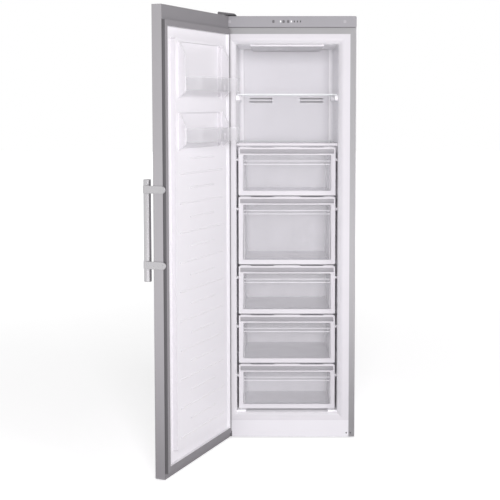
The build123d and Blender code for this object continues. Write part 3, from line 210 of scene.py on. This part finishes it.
def paint_over(material, share, colour):
    """Lays another tone over a material, by the share that a socket gives."""
    tree = material.node_tree
    base = tree.nodes["Principled BSDF"].inputs["Base Color"]
    mix = tree.nodes.new("ShaderNodeMix")
    mix.data_type = "RGBA"
    link(tree, share, mix.inputs["Factor"])
    link(tree, base.links[0].from_socket, mix.inputs["A"])
    mix.inputs["B"].default_value = (*colour, 1)
    link(tree, mix.outputs["Result"], base)


# ---------------------------------------------------------------- kinds of material
def new_material(name):
    """Material with its node tree and its shader."""
    material = bpy.data.materials.new(name)
    material.use_nodes = True
    tree = material.node_tree
    return material, tree, tree.nodes["Principled BSDF"]


def solid(name, colour, rough, metal=0.0, cloud=9.0, grain=900.0, spread=0.02, bump=0.00002):
    """Opaque material: slow clouding in the colour, fine grain in the gloss and the surface."""
    material, tree, shader = new_material(name)
    coord = coordinate(tree, "Object")
    slow = value_noise(tree, coord, cloud)
    fine = value_noise(tree, coord, grain, FINE_DETAIL)
    link(tree, tinted(tree, slow, colour, spread), shader.inputs["Base Color"])
    link(tree, between(tree, fine, rough - GLOSS_SPREAD, rough + GLOSS_SPREAD), shader.inputs["Roughness"])
    shader.inputs["Metallic"].default_value = metal
    shader.inputs["IOR"].default_value = PLASTIC_IOR
    relief = tree.nodes.new("ShaderNodeBump")
    relief.inputs["Distance"].default_value = bump
    relief.inputs["Strength"].default_value = RELIEF_STRENGTH
    link(tree, fine, relief.inputs["Height"])
    link(tree, relief.outputs["Normal"], shader.inputs["Normal"])
    return material


def clear(name, colour, rough, lying, standing, ribs=None):
    """Clear plastic or glass: see-through walls, with milky edges.

    lying and standing are the opacities of its faces that look up or down and of the others. ribs gives
    the opacity of moulded ribs and the plane before which they stand."""
    material, tree, shader = new_material(name)
    place = coordinate(tree, "Object")
    slow = value_noise(tree, place, CLEAR_CLOUD)
    link(tree, tinted(tree, slow, colour, CLEAR_SPREAD), shader.inputs["Base Color"])
    link(tree, between(tree, slow, *[rough * share for share in CLEAR_GLOSS]), shader.inputs["Roughness"])
    shader.inputs["IOR"].default_value = CLEAR_IOR
    up = arithmetic(tree, "ABSOLUTE", part_of(tree, coordinate(tree, "Normal"), "Z"))
    alpha = ramp(tree, up, *LYING, standing, lying)
    if ribs:
        rib_alpha, rib_y = ribs
        rib = ramp(tree, part_of(tree, place, "Y"), rib_y - RIB_EDGE, rib_y, rib_alpha, 0.0)
        alpha = arithmetic(tree, "MAXIMUM", alpha, rib)
    link(tree, arithmetic(tree, "MULTIPLY", alpha, between(tree, slow, *CLEAR_HAZE)), shader.inputs["Alpha"])
    return material


def two_toned(name, colour, other, rough, turn, metal=0.0):
    """One moulding in two tones: colour up to the first value of its turn, and other from the second. Here
    one of the two tones is always painted: painted shade on the grip recess, the door's inward faces and the
    door liner's front faces, painted light on the lit lights and the liner's inside.
    """
    material = solid(name, colour, rough, metal)
    tree = material.node_tree
    letter, output, low, high = turn
    value = part_of(tree, coordinate(tree, output), letter)
    paint_over(material, ramp(tree, value, low, high, 0.0, 1.0), other)
    return material


def gasket(name, flank, head, fin):
    """Extruded seal: grey head in its own tone, a dark outer flank that is painted shade and a pale inner
    fin that is painted light, told apart by the way they face.
    """
    material = solid(name, head, SEAL_ROUGH)
    tree = material.node_tree
    low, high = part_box("door_gasket")
    outward = vector_math(tree, "SUBTRACT", coordinate(tree, "Object"), centre(low, high)).outputs["Vector"]
    facing = vector_math(tree, "DOT_PRODUCT", coordinate(tree, "Normal"), outward).outputs["Value"]
    for colour, turn in ((flank, SEAL_SHADED_FLANK), (fin, SEAL_LIT_FIN)):
        paint_over(material, ramp(tree, facing, *turn, 0.0, 1.0), colour)
    return material


def lined_door(name, front, colour, rim_shade_colour, rough):
    """Moulding painted darker where its faces look to the front, and with a dark band along its edges next
    to the seal; both are painted shade.
    """
    material = two_toned(name, front, colour, rough, SHADED_FRONTWARD)
    tree = material.node_tree
    place = coordinate(tree, "Object")
    corners = [vert.co for vert in nodes["door_liner"].data.vertices]
    free_edge = min(corners, key=lambda c: c.y)
    hinge_edge = max(corners, key=lambda c: c.y)
    along = Vector((free_edge.x - hinge_edge.x, free_edge.y - hinge_edge.y, 0)).normalized()
    up = Vector((0, 0, 1))
    rim = None
    for way in (along, -along, up, -up):
        reach = vector_math(tree, "DOT_PRODUCT", place, way).outputs["Value"]
        inner = max(c.dot(way) for c in corners) - LINER_RIM
        side = ramp(tree, reach, inner - RIM_EDGE, inner, 0.0, 1.0)
        rim = side if rim is None else arithmetic(tree, "MAXIMUM", rim, side)
    paint_over(material, rim, rim_shade_colour)
    return material


# ---------------------------------------------------------------- materials of the CAD nodes
WINDOW_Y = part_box("drawer_1_window")[0][1] + RIB_HEIGHT
lights_low, lights_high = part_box("indicator_lights")
lit_end = lights_low[0] + LIT_SHARE * (lights_high[0] - lights_low[0])
FRONT_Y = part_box("inner_liner")[0][1]

# by slot
MATERIALS = {
    "grey_cabinet": solid("grey_cabinet", (0.43, 0.425, 0.435), 0.36, metal=0.75),
    "zinc_sheet": solid("zinc_sheet", (0.50, 0.51, 0.52), 0.42, metal=0.85, cloud=60, spread=0.10),
    "foam": solid("foam", (0.80, 0.72, 0.48), 0.9, grain=300, bump=0.0004),
    "white_panel": solid("white_panel", (0.74, 0.735, 0.755), 0.33),
    # drawer fronts: 0.46 on the down-facing grip recess is painted shade; 0.68 is the frame's own white
    "white_frame": two_toned("white_frame", (0.46, 0.455, 0.47), (0.68, 0.67, 0.69), 0.34, GRIP_SHADE_FACING),
    "fins": solid("fins", (0.70, 0.71, 0.72), 0.35, metal=0.9, cloud=40),
    "black_plastic": solid("black_plastic", (0.025, 0.025, 0.027), 0.5),
    "heater_tube": solid("heater_tube", (0.35, 0.34, 0.33), 0.35, metal=0.9, cloud=60),
    "grey_plastic": solid("grey_plastic", (0.35, 0.345, 0.36), 0.38, metal=0.15),
    "board": solid("board", (0.05, 0.22, 0.09), 0.45, cloud=200, spread=0.15),
    "button": solid("button", (0.15, 0.147, 0.153), 0.35),
    "shelf_glass": clear("shelf_glass", (0.88, 0.92, 0.91), 0.05, 0.10, 0.80),
    "clear_window": clear("clear_window", (0.90, 0.895, 0.92), 0.12, 0.60, 0.14, ribs=(0.70, WINDOW_Y)),
    "clear_tub": clear("clear_tub", (0.93, 0.925, 0.95), 0.15, 0.75, 0.72),
    "clear_rack": clear("clear_rack", (0.88, 0.88, 0.90), 0.08, 0.45, 0.12),
    "dark_steel": solid("dark_steel", (0.20, 0.20, 0.205), 0.45, metal=0.6, cloud=80),
    "dark_plastic": solid("dark_plastic", (0.14, 0.136, 0.142), 0.42),
    "foot_plastic": solid("foot_plastic", (0.03, 0.03, 0.03), 0.55),
    "roller_plastic": solid("roller_plastic", (0.62, 0.61, 0.57), 0.45),
    "black_enamel": solid("black_enamel", (0.012, 0.012, 0.013), 0.25),
    "mount_rubber": solid("mount_rubber", (0.02, 0.02, 0.02), 0.7),
    "copper_pipe": solid("copper_pipe", (0.72, 0.36, 0.20), 0.32, metal=1.0, cloud=120, spread=0.12),
    # seal: 0.12 on the outer flank is painted shade, 0.78 on the inner fin painted light; 0.26 is the head's
    # own grey
    "seal": gasket("seal", (0.12, 0.117, 0.122), (0.26, 0.252, 0.262), (0.78, 0.775, 0.79)),
    "handle_silver": solid("handle_silver", (0.53, 0.522, 0.535), 0.28, metal=0.85, bump=0.000005),
}

# by node, instead of its slot's; the door's faces that look toward the cabinet are painted darker than its
# outside: painted shade, not a colour difference
shaded_door_cap = two_toned("shaded_door_cap", (0.37, 0.36, 0.375), (0.235, 0.228, 0.238), 0.42, SHADED_INWARD)
NODE_LOOKS = {
    "door_skin": two_toned("door_skin", (0.48, 0.465, 0.485), (0.27, 0.262, 0.272), 0.36, SHADED_INWARD, metal=0.8),
    "door_top_cap": shaded_door_cap,
    "door_bottom_cap": shaded_door_cap,
    # door liner: 0.63 on front-facing faces and 0.13 along its edges are painted shade; 0.85 is its own
    # white
    "door_liner": lined_door("door_liner", (0.63, 0.62, 0.64), (0.85, 0.84, 0.86), (0.13, 0.127, 0.132),
                             0.34),
    # indicator lights: 0.95 on the first two is painted light for their glow; 0.12 is the dark lens
    "indicator_lights": two_toned("lens", (0.95, 0.94, 0.96), (0.12, 0.118, 0.122), 0.2,
                                  ("X", "Object", lit_end - LIT_BLUR, lit_end + LIT_BLUR)),
    "ceiling_duct": solid("duct", (0.72, 0.71, 0.73), 0.40),
    # cabinet liner: 0.665 on the front flange; the brighter 0.95 inside is painted light
    "inner_liner": two_toned("cabinet_liner_lit_inside", (0.665, 0.655, 0.675), (0.95, 0.945, 0.96), 0.30,
                             ("Y", "Object", FRONT_Y + MOUTH_START, FRONT_Y + MOUTH_END)),
}
for entry in frame["record"]["subparts"]:
    name = entry["node"]
    surface = nodes[name].data.materials
    surface.clear()
    surface.append(NODE_LOOKS.get(name) or MATERIALS[entry["material_slot"]])


# ---------------------------------------------------------------- small pieces on the cabinet
def on_cabinet(name, shape, material):
    """Turns a bmesh into a piece that moves with the cabinet."""
    mesh = bpy.data.meshes.new(name)
    shape.to_mesh(mesh)
    shape.free()
    mesh.materials.append(material)
    piece = bpy.data.objects.new(name, mesh)
    scene.collection.objects.link(piece)
    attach(piece, "cabinet")


def block_piece(name, low, high, material, bevel=0.0):
    """Small block between two corners, its edges along Y rounded by the bevel."""
    shape = bmesh.new()
    bmesh.ops.create_cube(shape, size=1.0)
    size = [b - a for a, b in zip(low, high)]
    for vert in shape.verts:
        vert.co = [m + c * d for m, c, d in zip(centre(low, high), vert.co, size)]
    if bevel:
        rounded = [e for e in shape.edges if abs((e.verts[0].co - e.verts[1].co).normalized().y) > PARALLEL]
        bmesh.ops.bevel(shape, geom=rounded, offset=bevel, segments=BEVEL_STEPS, affect="EDGES", profile=0.5)
    on_cabinet(name, shape, material)


def disc_piece(name, at, radius, height, outward, material):
    """Round head, its axis along Y, standing out from a face by its height."""
    shape = bmesh.new()
    bmesh.ops.create_cone(shape, cap_ends=True, segments=DISC_STEPS, radius1=radius,
                          radius2=radius * DISC_TAPER, depth=height)
    for vert in shape.verts:
        x, y, z = vert.co
        vert.co = (at[0] + x, at[1] + outward * (z + height / 2), at[2] + y)
    bmesh.ops.recalc_face_normals(shape, faces=shape.faces)
    on_cabinet(name, shape, material)


# dark strip between the fascia and the frame below it: partly the seam between them, partly painted shade
# for the fascia's shadow
fascia_low, fascia_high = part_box("control_fascia")
fascia_y = fascia_low[1]
block_piece("fascia_seam_and_shade", (fascia_low[0] + SEAM_INSET, fascia_y - FACE_PROUD, fascia_low[2] - SEAM),
            (fascia_high[0] - SEAM_INSET, fascia_y + SINK, fascia_low[2]),
            solid("seam", (0.16, 0.155, 0.162), 0.6))

# caps over the fascia's fasteners
cap_look = solid("fascia_cap", (0.43, 0.42, 0.435), 0.45)
cap_z = (fascia_low[2] + fascia_high[2]) / 2
for side, x in (("left", fascia_low[0] + CAP_INSET), ("right", fascia_high[0] - CAP_INSET)):
    block_piece(f"fascia_cap_{side}", (x - CAP / 2, fascia_y - FACE_PROUD, cap_z - CAP / 2),
                (x + CAP / 2, fascia_y + SINK, cap_z + CAP / 2), cap_look, bevel=CAP_ROUND)

# plugs in the holes of the foot of the front frame
shell_low, shell_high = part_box("cabinet_shell")
for k, inset in enumerate(PLUG_INSETS):
    disc_piece(f"plug_{k + 1}", (shell_high[0] - inset, shell_low[1], PLUG_Z), PLUG_R, PLUG_HEIGHT, -1,
               MATERIALS["dark_plastic"])

# screws around the back sheet, half sunk into it
back_low, back_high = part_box("back_panel")
screw_span = back_high[2] - back_low[2] - 2 * SCREW_MARGIN
for row in range(SCREW_ROWS):
    z = back_low[2] + SCREW_MARGIN + screw_span * row / (SCREW_ROWS - 1)
    for side, x in (("left", back_low[0] + SCREW_INSET), ("right", back_high[0] - SCREW_INSET)):
        disc_piece(f"back_screw_{side}_{row + 1}", (x, back_high[1] - SCREW_HEIGHT / 2, z), SCREW_R,
                   SCREW_HEIGHT, 1, MATERIALS["zinc_sheet"])


# ---------------------------------------------------------------- floor, world and lamps
def stage_floor():
    """Pale floor that shows white to the camera and keeps the shadow."""
    bpy.ops.mesh.primitive_plane_add(size=FLOOR_SIZE)
    floor = bpy.context.object
    floor.name = "floor"
    material, tree, shader = new_material("floor")
    coord = coordinate(tree, "Object")
    slow = value_noise(tree, coord, FLOOR_CLOUD)
    link(tree, tinted(tree, slow, (FLOOR_COLOUR,) * 3, FLOOR_SPREAD), shader.inputs["Base Color"])
    shader.inputs["Roughness"].default_value = FLOOR_ROUGH
    shader.inputs["Specular IOR Level"].default_value = FLOOR_SPECULAR
    path = tree.nodes.new("ShaderNodeLightPath")
    away = vector_math(tree, "LENGTH", coord).outputs["Value"]
    glow = ramp(tree, away, *GLOW_REACH, NEAR_GLOW, FAR_GLOW)
    seen = arithmetic(tree, "MULTIPLY", path.outputs["Is Camera Ray"], glow)
    sheen = ramp(tree, away, *SHEEN_REACH, 0.0, SHEEN)
    mirrored = arithmetic(tree, "MULTIPLY", path.outputs["Is Glossy Ray"], sheen)
    shader.inputs["Emission Color"].default_value = (1, 1, 1, 1)
    link(tree, arithmetic(tree, "MAXIMUM", seen, mirrored), shader.inputs["Emission Strength"])
    floor.data.materials.append(material)


def stage_world():
    """White for the camera and behind clear plastic, pale in mirrored light and soft on everything else."""
    world = bpy.data.worlds.new("studio")
    scene.world = world
    world.use_nodes = True
    tree = world.node_tree
    shader = tree.nodes["Background"]
    path = tree.nodes.new("ShaderNodeLightPath")
    seen = arithmetic(tree, "MAXIMUM", path.outputs["Is Camera Ray"], path.outputs["Is Transmission Ray"])
    mirrored = ramp(tree, path.outputs["Is Glossy Ray"], 0.0, 1.0, WORLD_LIGHT, SKY_SHEEN)
    shader.inputs["Color"].default_value = (1, 1, 1, 1)
    link(tree, arithmetic(tree, "MAXIMUM", seen, mirrored), shader.inputs["Strength"])


def lamp(name, at, aim, size, watts, mirrored=True):
    """Soft square lamp; one that isn't mirrored leaves no bright patch on glossy faces."""
    data = bpy.data.lights.new(name, "AREA")
    data.shape = "SQUARE"
    data.size = size
    data.energy = watts
    data.color = LIGHT_COLOUR
    lamp_object = bpy.data.objects.new(name, data)
    lamp_object.visible_glossy = mirrored
    scene.collection.objects.link(lamp_object)
    lamp_object.location = at
    lamp_object.rotation_euler = (Vector(aim) - Vector(at)).to_track_quat("-Z", "Y").to_euler()


MIDDLE = centre(*cad_box)
stage_floor()
stage_world()
lamp("front", FRONT_AT, MIDDLE, FRONT_SIZE, FRONT_WATTS, mirrored=False)
lamp("key", KEY_AT, MIDDLE, KEY_SIZE, KEY_WATTS)


# ---------------------------------------------------------------- camera
def stage_camera():
    """Camera near the photograph's place, looking slightly down."""
    data = bpy.data.cameras.new("camera")
    data.lens = CAMERA_LENS
    data.sensor_width = SENSOR_WIDTH
    data.shift_x, data.shift_y = CAMERA_SHIFT
    camera = bpy.data.objects.new("camera", data)
    scene.collection.objects.link(camera)
    camera.location = CAMERA_AT
    camera.rotation_euler = (radians(90 - CAMERA_TILT), 0, 0)
    scene.camera = camera


stage_camera()
scene.view_settings.view_transform = "Standard"
